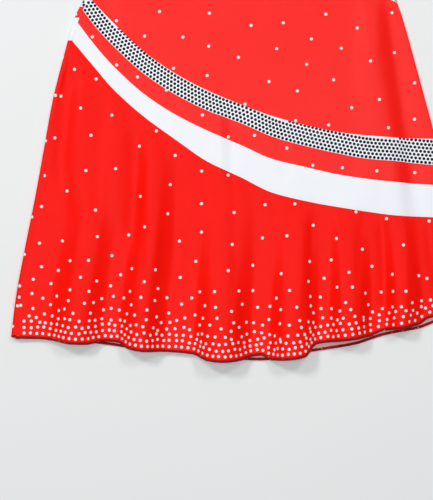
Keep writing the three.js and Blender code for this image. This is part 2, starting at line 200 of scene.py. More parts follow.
_armhole = {side: curve(ARMHOLES, "y", side) for side in ("left", "right")}
_side = {side: curve(SIDES, "y", side) for side in ("left", "right")}
front_hem = curve(FRONT_HEM, "x", "y")
back_hem = curve(BACK_HEM, "x", "y")
front_edge = {band: curve(FRONT_EDGES, "x", band) for band in BACK_EDGES}


def outline(side, y):
    return np.where(np.asarray(y) > UNDERARM, _armhole[side](y), _side[side](y))


def back_edge_of(band):
    left, right = BACK_EDGES[band]
    start, end = outline("left", left), outline("right", right)
    return lambda x: mix(left, right, smooth((x - start) / (end - start)))


back_edge = {band: back_edge_of(band) for band in BACK_EDGES}


def sash_lower(x):
    start, end = outline("left", SASH_LEFT), outline("right", SASH_RIGHT)
    share = np.clip((x - start) / (end - start), 0, 1)
    return mix(SASH_LEFT, SASH_RIGHT, share) + SASH_BOW * 4 * share * (1 - share)


def sash_upper(x):
    return sash_lower(x) + SASH_HEIGHT


def neck_or_shoulder(share, depth):
    out = np.abs(2 * share - 1)
    neck = SHOULDER_TOP - depth * np.sqrt(np.clip(1 - (out / NECK_SHARE) ** 2, 0, 1))
    shoulder = SHOULDER_TOP - SHOULDER_DROP * (out - NECK_SHARE) / (1 - NECK_SHARE)
    return np.where(out < NECK_SHARE, neck, shoulder)


def flute_height(hem_x):
    total = np.zeros_like(hem_x)
    for flute in FLUTES:
        up = smooth((hem_x - flute["rise"]) / flute["rise_width"] + 0.5)
        down = smooth((hem_x - flute["fall"]) / flute["fall_width"] + 0.5)
        share = np.clip((hem_x - flute["rise"]) / (flute["fall"] - flute["rise"]), 0, 1)
        dome = np.sin(np.pi * share) ** 2
        total += flute["height"] * mix(up - down, dome, FLUTE_DOME)
    return total


def ridge_height(x, y, ridges):
    total = np.zeros(np.broadcast(x, y).shape)
    for ridge in ridges:
        along = (y - ridge["y1"]) / (ridge["y2"] - ridge["y1"])
        away = (x - mix(ridge["x1"], ridge["x2"], along)) / ridge["width"]
        fade = smooth(along * 4) * smooth((1 - along) * 4)
        total += ridge["height"] * fade * np.exp(-away * away)
    return total


def seam_relief(x, y):
    """The furrow and the small gathers of the sewn edges that cross the front."""
    total = np.zeros(np.broadcast(x, y).shape)
    gathers = np.sin(2 * np.pi * x / PUCKER_LENGTH) * np.sin(x * 0.31 + np.sin(x * 0.05) * 2)
    for edge in [*front_edge.values(), sash_lower, sash_upper]:
        lean = (edge(x + 1) - edge(x - 1)) / 2
        away = (y - edge(x)) / np.hypot(1, lean)
        total -= FURROW_DEPTH * np.exp(-((away / FURROW_REACH) ** 2))
        total += PUCKER_HEIGHT * gathers * np.exp(-((away / PUCKER_REACH) ** 2))
    return total


def front_height(x, y):
    left, right = outline("left", y), outline("right", y)
    across = np.clip((x - left) / (right - left), 0, 1)
    from_edge = np.maximum(0, np.minimum(x - left, right - x) - EDGE_IN)
    seam, hem = front_edge["flounce"](x), front_hem(x)
    down = np.clip((seam - y) / (seam - hem), 0, 1)
    opened = np.clip((seam + FLUTE_START - y) / (seam + FLUTE_START - hem), 0, 1) ** FLUTE_GROWTH
    inside = 1 - np.exp(-((from_edge / EDGE_SOFT) ** 2))
    flute = flute_height(mix(FRONT_HEM[0]["x"], FRONT_HEM[-1]["x"], across)) * opened
    curl = HEM_CURL * smooth(flute / HEM_CURL_FULL) * np.exp(-np.maximum(0, y - hem) / HEM_CURL_REACH)
    fine = ridge_height(x, y, CREASES) + seam_relief(x, y)
    return (
        FRONT_LEVEL + EDGE_LIFT * (1 - inside) + CROWN * np.sin(np.pi * across) * inside
        + HEM_LEVEL_RISE * down + flute - curl
        + ridge_height(x, y, RIDGES) + fine * smooth(from_edge / FINE_REACH)
    )


# The two sheets of cloth. A place on a sheet is a column and a height y, both arrays. Columns 0 to 1
# cross the face, and columns past them turn round the side folds.

def side_turn(side, y, half):
    edge = outline(side, y)
    inward = 1 if side == "left" else -1
    radius = (front_height(edge + inward * EDGE_IN, y) - half) / 2
    return edge + inward * (half + radius), radius


def front_point(column, y, half):
    x_turn, radius = side_turn("right", y, half)
    angle = np.clip(column - 1, 0, 1) * np.pi / 2
    start = outline("left", y) + SEAM_IN + SIDE_GAP / 2
    x = mix(start, x_turn, np.minimum(column, 1))
    z = np.where(column > 1, half + radius + radius * np.cos(angle), front_height(x, y))
    return np.stack([x + radius * np.sin(angle), y + 0 * x, z], axis=-1)


def back_point(column, y, half):
    x_left, r_left = side_turn("left", y, half)
    x_right, r_right = side_turn("right", y, half)
    x = mix(x_left, x_right, np.clip(column, 0, 1))
    right_angle = np.clip(column - 1, 0, 1) * np.pi / 2
    left_angle = np.clip(-column, 0, 1) * np.pi
    x = x + r_right * np.sin(right_angle) - r_left * np.sin(left_angle)
    z = half + r_right * (1 - np.cos(right_angle)) + r_left * (1 - np.cos(left_angle))
    seam = outline("left", y) + SEAM_IN - SIDE_GAP / 2
    top_x = mix(x_left, seam, np.clip(-1 - column, 0, 1))
    over = column < -1
    x = np.where(over, top_x, x)
    z = np.where(over, front_height(top_x, y), z)
    return np.stack([x, y + 0 * x, z], axis=-1)


RIGHT_TURN_END = 1.96
TURN_STEPS = 8
_right_turn = 1 + np.linspace(0, RIGHT_TURN_END - 1, TURN_STEPS + 1)[1:]
_left_turn = np.concatenate([np.linspace(-2, -1, 5)[:-1], np.linspace(-1, 0, 2 * TURN_STEPS + 1)[:-1]])


class Sheet:
    """One of the two sheets of cloth, with the columns of its turned edges."""

    def __init__(self, point, before, after):
        self.point, self.before, self.after = point, before, after

    def columns(self, face):
        return np.concatenate([self.before, face, self.after])

    def slopes(self, column, y, half):
        """How a place moves with its column, and with its height."""
        across = self.point(column + COLUMN_STEP, y, half) - self.point(column - COLUMN_STEP, y, half)
        along = self.point(column, y + HEIGHT_STEP, half) - self.point(column, y - HEIGHT_STEP, half)
        return across / (2 * COLUMN_STEP), along / (2 * HEIGHT_STEP)

    def normal(self, column, y, half):
        return unit(np.cross(*self.slopes(column, y, half)))

    def crossing(self, column, half, edge, shift=0.0):
        """The height where a column crosses an edge, moved along the sheet by shift."""
        low, high = np.full(np.shape(column), -SEARCH_REACH), np.full(np.shape(column), SEARCH_REACH)
        for _ in range(SEARCH_HALVINGS):
            y = (low + high) / 2
            below = y < edge(self.point(column, y, half)[..., 0])
            low, high = np.where(below, y, low), np.where(below, high, y)
        x = self.point(column, low, half)[..., 0]
        return low + shift * np.hypot(1, (edge(x + 1) - edge(x - 1)) / 2)


FRONT = Sheet(front_point, np.array([]), _right_turn)
BACK = Sheet(back_point, _left_turn, _right_turn)


def hem_columns(count):
    """Columns evenly spaced along the waving hem."""
    column = np.linspace(0, 1, count * 8)
    x = mix(FRONT_HEM[0]["x"], FRONT_HEM[-1]["x"], column)
    points = front_point(column, front_hem(x), CLOTH_HALF)
    length = walked_along(points[:, [0, 2]])
    return np.interp(np.linspace(0, length[-1], count + 1), length, column)


def neck_columns(count, strap):
    """Columns closer together where the neck falls steeply."""
    inner = NECK_SHARE * np.sin(np.linspace(0, np.pi / 2, count + 1))[1:]
    outer = mix(NECK_SHARE, 1, np.linspace(0, 1, strap + 1)[1:])
    out = np.concatenate([inner, outer])
    return np.concatenate([((1 - out) / 2)[::-1], [0.5], (1 + out) / 2])


# Meshes

def add_object(name, data):
    piece = bpy.data.objects.new(name, data)
    bpy.context.scene.collection.objects.link(piece)
    return piece


def new_object(name, points, faces, materials, slots=None, sharp=50):
    """A piece from points in millimetres. slots gives each face's material."""
    mesh = bpy.data.meshes.new(name)
    mesh.from_pydata((np.asarray(points) * MM).tolist(), [], faces)
    for material in materials:
        mesh.materials.append(material)
    if slots is not None:
        mesh.polygons.foreach_set("material_index", np.asarray(slots, np.int32))
    mesh.polygons.foreach_set("use_smooth", np.ones(len(mesh.polygons), bool))
    mesh.set_sharp_from_angle(angle=math.radians(sharp))
    mesh.update()
    return add_object(name, mesh)


def finish_piece(piece, slot, *nodes):
    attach(piece, "root")
    if nodes:
        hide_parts(*nodes)
    return piece


def cloth_shell(name, materials, panel, rim_slot, turned):
    """A closed thin shell on a panel. Material 0 is the side that the normals point to, 1 the other side,
    and 1 is also on the first side where the cloth is turned over."""
    points, rise, keep = panel.points, panel.normals * panel.half, panel.keep
    m, n = points.shape[:2]
    ids = np.arange(m * n).reshape(m, n)
    a, b, c, d = ids[:-1, :-1], ids[1:, :-1], ids[1:, 1:], ids[:-1, 1:]
    upper = np.stack([a, b, c, d], -1)[keep]
    lower = np.stack([a, d, c, b], -1)[keep] + m * n
    padded = np.pad(keep, 1)
    rims = []
    for start, end, beside in (
        (a, b, padded[1:-1, :-2]), (b, c, padded[2:, 1:-1]),
        (c, d, padded[1:-1, 2:]), (d, a, padded[:-2, 1:-1]),
    ):
        edge = keep & ~beside
        s, e = start[edge], end[edge]
        rims.append(np.stack([s + m * n, e + m * n, e, s], -1))
    rim = np.concatenate(rims)
    faces = np.concatenate([upper, lower, rim])
    first = np.zeros(len(upper), int) if turned is None else turned[keep].astype(int)
    slots = np.concatenate([first, np.ones(len(lower), int), np.full(len(rim), rim_slot)])
    both = np.concatenate([(points + rise).reshape(-1, 3), (points - rise).reshape(-1, 3)])
    used = np.unique(faces)
    number = np.zeros(len(both), int)
    number[used] = np.arange(len(used))
    return new_object(name, both[used], number[faces].tolist(), materials, slots)


def flat_size(points, keep):
    """Width, length and area of the flat cut of a grid, in metres."""
    rising, falling = points[1:, 1:] - points[:-1, :-1], points[:-1, 1:] - points[1:, :-1]
    cell = np.linalg.norm(np.cross(rising, falling), axis=2) / 2 * keep
    width, length = walked_along(points)[-1].max() * MM, walked_along(points, 1)[:, -1].max() * MM
    area = min(cell.sum() * MM * MM, width * length)
    return round(float(width), 3), round(float(length), 3), float(area)


class Panel:
    """A cloth piece between two edges, on one of the sheets."""

    def __init__(self, sheet, face, rows, lower, upper, lower_shift=SEAM_GAP / 2, heights=None):
        self.sheet, self.half = sheet, CLOTH_HALF
        self.outward = 1 if sheet is FRONT else -1
        self.columns = sheet.columns(face)
        if heights is None:
            low = sheet.crossing(self.columns, self.half, lower, lower_shift)
            high = sheet.crossing(self.columns, self.half, upper, -SEAM_GAP / 2)
            heights = mix(low[:, None], high[:, None], np.linspace(0, 1, rows + 1)[None, :])
        self.heights = heights
        self.column = np.repeat(self.columns[:, None], heights.shape[1], axis=1)
        self.points = sheet.point(self.column, heights, self.half)
        self.normals = sheet.normal(self.column, heights, self.half)
        self.keep = np.ones((len(self.columns) - 1, heights.shape[1] - 1), bool)

    def lengths(self):
        """How far each grid point is along the cloth from the middle column, and up from the lower edge."""
        along = walked_along(self.points)
        return along - along[-1:] / 2, walked_along(self.points, 1)

    def level(self, up, height):
        """The line that runs a height above the lower edge, as a y in each column."""
        return np.array([np.interp(height, *pair) for pair in zip(up, self.heights)])

    def make(self, node, slot, print_side, wrong_side, rests_on, with_pieces=(), turned=None):
        """The cloth of this panel, printed on its outer side, in the place of its solid."""
        pair = [material(print_side), material(wrong_side)][::self.outward]
        piece = cloth_shell(f"{node}_cloth", pair, self, 0 if self.outward > 0 else 1, turned)
        width, length, area = flat_size(self.points, self.keep)
        return finish_piece(piece, slot, node)


ROW_CROWDING = 1.7  # the rows of a bodice piece lie closer together near the underarm


def bodice_panel(sheet, face, rows_below, rows_above, lower, depth):
    """A bodice piece up to the neck and the shoulders, turned round the sides only below the underarm."""
    columns = sheet.columns(face)
    low = sheet.crossing(columns, CLOTH_HALF, lower, SEAM_GAP / 2)
    top = neck_or_shoulder(np.clip(columns, 0, 1), depth)
    below = mix(low[:, None], UNDERARM, np.linspace(0, 1, rows_below + 1)[None, :])
    above = mix(UNDERARM, top[:, None], np.linspace(0, 1, rows_above + 1)[None, 1:] ** ROW_CROWDING)
    panel = Panel(sheet, face, 0, None, None, heights=np.concatenate([below, above], axis=1))
    on_face = (panel.columns[:-1] >= 0) & (panel.columns[1:] <= 1)
    under = np.arange(panel.heights.shape[1] - 1) < rows_below
    panel.keep = on_face[:, None] | under[None, :]
    return panel


# Printed dots. Each dot follows the cloth under it, and its rim dips into the cloth.

def print_dots(name, panel, places, radius, sides, rings, ink_kind, slot):
    """Dots of ink on a panel. rings gives each ring's share of the radius and its height."""
    sheet, half, side = panel.sheet, panel.half, panel.outward
    column, y = places
    across, along = sheet.slopes(column, y, half)
    beside = unit(across)
    lean = (along * beside).sum(-1)
    rise = np.linalg.norm(along - beside * lean[:, None], axis=-1)
    walked = walked_along(sheet.point(panel.columns[None, :], y[:, None], half), 1)
    start = [np.interp(column[k], panel.columns, walked[k]) for k in range(len(y))]
    angles = 2 * np.pi * np.arange(sides) / sides
    low = np.interp(column, panel.columns, panel.heights[:, 0])
    high = np.interp(column, panel.columns, panel.heights[:, -1])
    points = []
    for share, height in [(0.0, rings[0][1]), *rings]:
        turns = angles if share else angles[:1]
        du, dv = share * radius * np.cos(turns), share * radius * np.sin(turns)
        dy = dv[None, :] / rise[:, None]
        moved = du[None, :] - dy * lean[:, None]
        rim_y = np.clip(y[:, None] + dy, low[:, None], high[:, None])
        rim = np.array([np.interp(start[k] + moved[k], walked[k], panel.columns) for k in range(len(y))])
        normal = sheet.normal(rim, rim_y, half)
        points.append(sheet.point(rim, rim_y, half) + normal * side * (half + height))
    points = np.concatenate(points, axis=1)
    per = points.shape[1]
    k = np.arange(sides)
    nxt = (k + 1) % sides
    fan = np.stack([np.zeros(sides, int), 1 + k, 1 + nxt], -1)
    band = np.stack([1 + k, 1 + sides + k, 1 + sides + nxt, 1 + nxt], -1)
    bands = [band + r * sides for r in range(len(rings) - 1)]
    if side < 0:
        fan, bands = fan[:, ::-1], [band[:, ::-1] for band in bands]
    starts = np.arange(len(column)) * per
    faces = [(fan[None] + starts[:, None, None]).reshape(-1, 3).tolist()]
    faces += [(band[None] + starts[:, None, None]).reshape(-1, 4).tolist() for band in bands]
    piece = new_object(name, points.reshape(-1, 3), sum(faces, []), [material(ink_kind)], sharp=80)
    return finish_piece(piece, slot)


WHITE_DOT = {
    "radius": 1.76, "sides": 14, "rings": [(0.6, 0.1), (0.94, 0.085), (1.0, -0.05)],
    "ink_kind": "dot", "slot": "white_knit",
}
NAVY_DOT = {
    "radius": 1.74, "sides": 9, "rings": [(0.92, 0.08), (1.0, -0.05)],
    "ink_kind": "navy", "slot": "dotted_knit",
}
FIRST_ROW = 2.0  # height of the lowest row of navy dots above the edge of its band
SPARSE = 37.0  # the usual space between two white dots, far from a hem
# The space between white dots, by the height above the hem
HEM_SPACING = table("up space", [
    (0, 7.6), (26, 9.0), (36, 11.0), (47, 13.6), (62, 17), (80, 23), (98, 29), (125, 35), (160, SPARSE),
])
HEM_ROWS = table("height pitch stray", [
    (3.8, 6.9, 0.25), (10.0, 7.2, 0.5), (16.4, 7.8, 0.8), (23.2, 9.0, 1.2),
])
OPEN_SIDE = (70, 200)  # towards this side, from one place to the other, the dots open out
OPEN_MORE = 0.45
CLOSEST = 0.84  # the least share of the usual space between two white dots
ABOVE_ROWS = 4.5  # the scattered dots start this far above the highest row


def scatter(panel, spacing, seed, placed=(), tries=16000, margin=0.0):
    """Places of dots that keep the given space, in the cloth's own lengths, as columns and heights."""
    rng = np.random.default_rng(seed)
    along, up = panel.lengths()
    m, n = up.shape
    i, j = rng.uniform(0, m - 1.001, tries), rng.uniform(0, n - 1.001, tries)
    i0, j0 = i.astype(int), j.astype(int)
    fi, fj = i - i0, j - j0

    def blend_grid(grid):
        return (
            grid[i0, j0] * (1 - fi) * (1 - fj) + grid[i0 + 1, j0] * fi * (1 - fj)
            + grid[i0, j0 + 1] * (1 - fi) * fj + grid[i0 + 1, j0 + 1] * fi * fj
        )

    u, v = blend_grid(along), blend_grid(up)
    column, y = blend_grid(panel.column), blend_grid(panel.heights)
    top = up[i0, -1]
    space = spacing(v) * opening_out(u) if placed else spacing(v)
    kept_u, kept_v = [u_at for u_at, _ in placed], [v_at for _, v_at in placed]
    chosen = []
    for k in range(tries):
        if not margin <= v[k] <= top[k] or not panel.keep[i0[k], j0[k]]:
            continue
        if kept_u:
            gap = np.hypot(np.array(kept_u) - u[k], np.array(kept_v) - v[k]).min()
            if gap < space[k] * CLOSEST:
                continue
        kept_u.append(u[k])
        kept_v.append(v[k])
        chosen.append(k)
    return column[chosen], y[chosen]


def opening_out(along):
    start, end = OPEN_SIDE
    return 1 + OPEN_MORE * smooth((along - start) / (end - start))


def hem_dots(panel, seed):
    """Dots of a flounce: regular rows just above the hem, then ever more open ones."""
    rng = np.random.default_rng(seed)
    along, up = panel.lengths()
    columns, heights, placed = [], [], []
    for row in HEM_ROWS:
        height, pitch, stray = row["height"], row["pitch"], row["stray"]
        at = np.array([np.interp(height, up[i], along[i]) for i in range(len(up))])
        level = panel.level(up, height)
        steps = [at[0] + 2 + rng.uniform(0, pitch)]
        while steps[-1] + pitch < at[-1]:
            steps.append(steps[-1] + pitch * float(opening_out(steps[-1])))
        u = np.array(steps[:-1])
        u = u + rng.normal(0, stray, len(u))
        wobble = rng.normal(0, stray, len(u))
        columns.append(np.interp(u, at, panel.columns))
        heights.append(np.interp(u, at, level) + wobble)
        placed += list(zip(u, height + wobble))
    space = curve(HEM_SPACING, "up", "space")
    margin = HEM_ROWS[-1]["height"] + ABOVE_ROWS
    more_c, more_y = scatter(panel, space, seed + 1, placed, tries=26000, margin=margin)
    return np.concatenate([*columns, more_c]), np.concatenate([*heights, more_y])


EDGE_REACH = 40.0  # how far a band's lower edge is carried on, straight, past the face
FACE_MARGIN = 0.004  # share of the width that the dots keep from the face's sides
START_MARGIN, END_MARGIN = 1.6, 1.2  # how far the navy dots keep from a band's two ends
SPARE_DOTS = 10  # rows start and end this many dots past the band, and are cut off
DOT_ROOM = 0.4  # the least room between a dot's middle and the edge that cuts it


def carried_on(edge, at):
    """A line with its two ends carried on straight, and its lengths."""
    start, end = edge[0] - edge[4], edge[-1] - edge[-5]
    start *= EDGE_REACH / np.linalg.norm(start)
    end *= EDGE_REACH / np.linalg.norm(end)
    edge = np.vstack([edge[0] + start, edge, edge[-1] + end])
    return edge, np.concatenate([[at[0] - EDGE_REACH], at, [at[-1] + EDGE_REACH]])


def band_dots(panel, pitch):
    """Staggered rows of navy dots that follow a band's lower edge and are cut off by its upper one."""
    along, up = panel.lengths()
    columns, heights = [], []
    row_space = pitch * math.sin(math.pi / 3)
    walked, low, high = along[:, 0], panel.heights[:, 0], panel.heights[:, -1]
    face = (panel.columns > 0) & (panel.columns < 1)
    edge, at = carried_on(panel.points[face, 0, :2], walked[face])
    ahead = unit(np.gradient(edge, at, axis=0))
    for row in range(int(up[:, -1].max() / row_space) + 2):
        height = FIRST_ROW + row * row_space
        first = walked[0] + START_MARGIN + (row % 2) * pitch / 2
        u = np.arange(first - SPARE_DOTS * pitch, walked[-1] + SPARE_DOTS * pitch, pitch)
        x = np.interp(u, at, edge[:, 0] - ahead[:, 1] * height)
        y = np.interp(u, at, edge[:, 1] + ahead[:, 0] * height)
        column = column_at(panel.sheet, x, y)
        level = panel.level(up, height)
        turned = np.interp(u, walked, panel.columns)
        on_face = (column > FACE_MARGIN) & (column < 1 - FACE_MARGIN)
        off_face = ((turned < 0) | (turned > 1)) & (u > first - 0.1) & (u < walked[-1] - END_MARGIN)
        column = np.concatenate([column[on_face], turned[off_face]])
        y = np.concatenate([y[on_face], np.interp(u, walked, level)[off_face]])
        above, below = y - np.interp(column, panel.columns, low), np.interp(column, panel.columns, high) - y
        kept = np.minimum(above, below) > DOT_ROOM
        columns.append(column[kept])
        heights.append(y[kept])
    return np.concatenate(columns), np.concatenate(heights)


# Materials

class Wire:
    """A socket whose arithmetic adds Math nodes."""

    def __init__(self, shader, socket):
        self.shader, self.socket = shader, socket

    def maths(self, operation, *values):
        return self.shader.node("ShaderNodeMath", {"operation": operation}, dict(enumerate(values)))

    def __add__(self, other):
        return self.maths("ADD", self, other)

    def __sub__(self, other):
        return self.maths("SUBTRACT", self, other)

    def __rsub__(self, other):
        return self.maths("SUBTRACT", other, self)

    def __mul__(self, other):
        return self.maths("MULTIPLY", self, other)

    def __gt__(self, other):
        return self.maths("GREATER_THAN", self, other)

    __radd__ = __add__
    __rmul__ = __mul__

    def sine(self):
        return self.maths("SINE", self)

    def size(self):
        return self.maths("ABSOLUTE", self)


class Shader:
    """A material that is built from nodes by one method."""

    def __init__(self, name):
        self.material = bpy.data.materials.new(name)
        self.material.use_nodes = True
        self.tree = self.material.node_tree
        self.tree.nodes.clear()
        self.place = self.node("ShaderNodeTexCoord", {}, {}, "Object")

    def node(self, kind, settings, inputs, output=0):
        node = self.tree.nodes.new(kind)
        for key, value in settings.items():
            if key == "stops":
                while len(node.color_ramp.elements) < len(value):
                    node.color_ramp.elements.new(0.5)
                for element, (position, colour) in zip(node.color_ramp.elements, value):
                    element.position, element.color = position, (*colour, 1)
            else:
                setattr(node, key, value)
        for key, value in inputs.items():
            socket = node.inputs[key]
            if isinstance(value, Wire):
                self.tree.links.new(value.socket, socket)
            else:
                socket.default_value = value
        return Wire(self, node.outputs[output]) if node.outputs else None

    def noise(self, scale, detail=2.0):
        return self.node("ShaderNodeTexNoise", {}, {"Vector": self.place, "Scale": scale, "Detail": detail})

    def axis(self, letter):
        return self.node("ShaderNodeSeparateXYZ", {}, {0: self.place}, letter)

    def blend(self, share, first, second):
        settings = {"data_type": "RGBA"}
        return self.node("ShaderNodeMix", settings, {0: share, 6: (*first, 1), 7: (*second, 1)}, 2)

    def bump(self, height, distance, strength=1.0, under=None):
        inputs = {"Height": height, "Distance": distance, "Strength": strength}
        if under is not None:
            inputs["Normal"] = under
        return self.node("ShaderNodeBump", {}, inputs)

    def surface(self, **inputs):
        named = {key.replace("_", " ").title().replace("Ior", "IOR"): value for key, value in inputs.items()}
        shine = self.node("ShaderNodeBsdfPrincipled", {}, named)
        self.node("ShaderNodeOutputMaterial", {}, {"Surface": shine})
        return self.material


WALE, COURSE, THREAD_TURN = 0.0009, 0.0007, 0.0011  # the knit's and the thread's repeats, in metres


def knit(name, dark, light, rough=0.52, sheen=0.25, sheen_tint=(1, 1, 1), gloss=0.25, bump=0.00006):
    """Fine stretch knit: wales along the dress, courses across it, and a soft satin sheen."""
    s = Shader(name)
    wale = (s.axis("X") * (2 * math.pi / WALE)).sine().size()
    course = (s.axis("Y") * (2 * math.pi / COURSE) + wale * 1.6).sine()
    fuzz = s.noise(1400, 3)
    cloudy = s.noise(26, 4)
    stitch = wale * 0.7 + course * 0.3 + fuzz * 0.5
    share = cloudy * 0.75 + fuzz * 0.25
    colour = s.blend(share, dark, light)
    normal = s.bump(stitch, bump, 0.7, s.bump(cloudy, 0.0006, 0.35))
    return s.surface(
        base_color=colour, roughness=rough + 0.12 * (fuzz - 0.5), normal=normal,
        sheen_weight=sheen, sheen_roughness=0.4, sheen_tint=(*sheen_tint, 1), specular_ior_level=gloss,
    )


def ink(name, colour, rough, gloss):
    """Ink or foil on the knit: its colour, with the knit's grain still showing."""
    s = Shader(name)
    grain = s.noise(1100, 3)
    return s.surface(
        base_color=s.blend(grain, darker(colour, 0.86), colour), roughness=rough + 0.1 * (grain - 0.5),
        normal=s.bump(grain, 0.00005, 0.5), specular_ior_level=gloss,
    )


def overlock(name, dark, light, speck):
    """Tight overlock stitches over a rolled edge, with painted highlight on the thread's twisted ridges and
    painted shade between them, and specks of the cloth's white wrong side.
    """
    s = Shader(name)
    thread = (s.axis("X") * (2 * math.pi / THREAD_TURN) + s.axis("Y") * 2600).sine()
    grain = s.noise(1500, 2)
    # Painted highlight and shade: the colour is lighter where the twisted thread rises and darker between its
    # turns
    shade = s.blend(thread * 0.35 + grain * 0.65, dark, light)
    cell = s.node("ShaderNodeTexVoronoi", {}, {"Vector": s.place, "Scale": 420.0, "Randomness": 1.0})
    spots = (1 - s.noise(240, 2) > 0.6) * (0.2 - cell > 0)
    colour = s.node("ShaderNodeMix", {"data_type": "RGBA"}, {0: spots, 6: shade, 7: (*speck, 1)}, 2)
    return s.surface(
        base_color=colour, roughness=0.5 + 0.2 * grain, normal=s.bump(thread + grain * 0.4, 0.00012, 0.8),
        specular_ior_level=0.2,
    )


# The add-on's settings

def colour_setting(name, description, default):
    return bpy.props.FloatVectorProperty(
        name=name, description=description, subtype="COLOR", size=3, default=default, min=0, max=1)


class DressColours(bpy.types.PropertyGroup):
    red: colour_setting("Red", "Printed ground of the dress", (0.97, 0.005, 0.001))
    white: colour_setting("White", "White band and dots", (0.86, 0.88, 0.92))
    dot: colour_setting("Dots", "Small dots on the red cloth", (0.9, 0.84, 0.82))
    navy: colour_setting("Navy", "Small dots of the dotted bands", (0.004, 0.004, 0.018))
    # The wrong side's pink is partly the red print showing through and partly painted red bounce light from
    # the cloth around it
    wrong_side: colour_setting("Wrong side", "Unprinted side of the red cloth", (0.88, 0.52, 0.53))
    # The hem thread's dark red is partly a darker thread and partly painted shade of the rolled edge
    thread: colour_setting("Hem thread", "Overlock thread of the rolled hem", (0.4, 0.003, 0.003))


class DressSizes(bpy.types.PropertyGroup):
    band_pitch: bpy.props.FloatProperty(
        name="Band pitch", description="Space between navy dots along a row, in millimetres",
        default=4.5, min=3.2, max=12)
    stitch_length: bpy.props.FloatProperty(
        name="Stitch length", description="Length of a cover stitch, in millimetres",
        default=2.6, min=1, max=6)


def colours():
    return bpy.context.scene.dress_colours


def sizes():
    return bpy.context.scene.dress_sizes


_materials = {}


def darker(colour, share):
    return tuple(share * part for part in colour)


def material(kind):
    """The named material, made on first use."""
    if kind not in _materials:
        c = colours()
        red, white, inside, thread = tuple(c.red), tuple(c.white), tuple(c.wrong_side), tuple(c.thread)
        red_yarn = {"dark": darker(red, 0.93), "light": red}
        make = {
            "red": lambda: knit(
                "red_knit", **red_yarn, rough=0.42, sheen=0.05, sheen_tint=(1.0, 0.4, 0.35)),
            "flounce": lambda: knit(
                "flounce_knit", **red_yarn, rough=0.4, sheen=0.04, sheen_tint=(1.0, 0.3, 0.25), gloss=0.09),
            "white": lambda: knit("white_knit", darker(white, 0.96), white, rough=0.42, sheen=0.1),
            "ground": lambda: knit("dotted_ground", darker(white, 0.95), white, rough=0.55, sheen=0.1),
            # The wrong side's pink: partly the print showing through, partly painted red bounce light
            "inside": lambda: knit("wrong_side", darker(inside, 0.93), inside, rough=0.7, sheen=0.3),
            "pale_inside": lambda: knit("pale_wrong_side", (0.8, 0.8, 0.83), white, rough=0.7, sheen=0.3),
            "dot": lambda: ink("white_ink", tuple(c.dot), 0.5, 0.3),
            "navy": lambda: ink("navy_ink", tuple(c.navy), 0.55, 0.12),
            # The hem's dark colour, 0.55 of the thread, is the painted shade between the thread's turns
            "hem": lambda: overlock("hem_overlock", darker(thread, 0.55), thread, (0.8, 0.6, 0.6)),
            "thread": lambda: ink("cover_stitch", darker(red, 0.8), 0.6, 0.3),
        }
        _materials[kind] = make[kind]()
    return _materials[kind]


# Where the pieces are

FACE_FINE = np.linspace(0, 1, 241)
BACK_FINE = np.linspace(0, 1, 161)
FLUTED = hem_columns(400)
ABOVE_HEM = 2.9  # the flounces end this far above the hem line, inside the roll
# Rows of faces in the pieces between two edges
ROWS = {
    "dotted": 10, "strip": 10, "white": 14, "sash": 16, "body": 124, "front_flounce": 96, "back_flounce": 90,
}


def band_panel(sheet, edges, kind, lower, upper):
    face = FACE_FINE if sheet is FRONT else BACK_FINE
    return Panel(sheet, face, ROWS[kind], edges[lower], edges[upper])


def even_space(up):
    return np.full_like(up, SPARSE)


def make_bands(sheet, edges, side, rests_on):
    """The dotted band, the red strip and the white band of one sheet, with their dots."""
    dotted = band_panel(sheet, edges, "dotted", "strip", "dots")
    navy = print_dots(f"{side}_navy_dots", dotted, band_dots(dotted, sizes().band_pitch), **NAVY_DOT)
    dotted.make(f"{side}_dotted_band", "dotted_knit", "ground", "pale_inside", rests_on, [navy])
    strip = band_panel(sheet, edges, "strip", "white", "strip")
    places = scatter(strip, even_space, seed=5, tries=4000)
    dots = print_dots(f"{side}_strip_dots", strip, places, **WHITE_DOT)
    strip.make(f"{side}_red_strip", "red_knit", "red", "inside", rests_on, [dots])
    white = band_panel(sheet, edges, "white", "flounce", "white")
    white.make(f"{side}_white_band", "white_knit", "white", "pale_inside", rests_on)


def make_flounce(sheet, side, face, hem, edge, seed, rests_on):
    panel = Panel(sheet, face, ROWS[f"{side}_flounce"], hem, edge, lower_shift=ABOVE_HEM)
    dots = print_dots(f"{side}_flounce_dots", panel, hem_dots(panel, seed), **WHITE_DOT)
    panel.make(f"{side}_flounce", "red_knit", "flounce", "inside", rests_on, [dots])


ROLL_SIDES = 12
THREAD_PITCH = 1.15
THREAD_HEIGHT = 0.09
ROLL_WIDENING = 1.28  # the roll is pressed a little flat


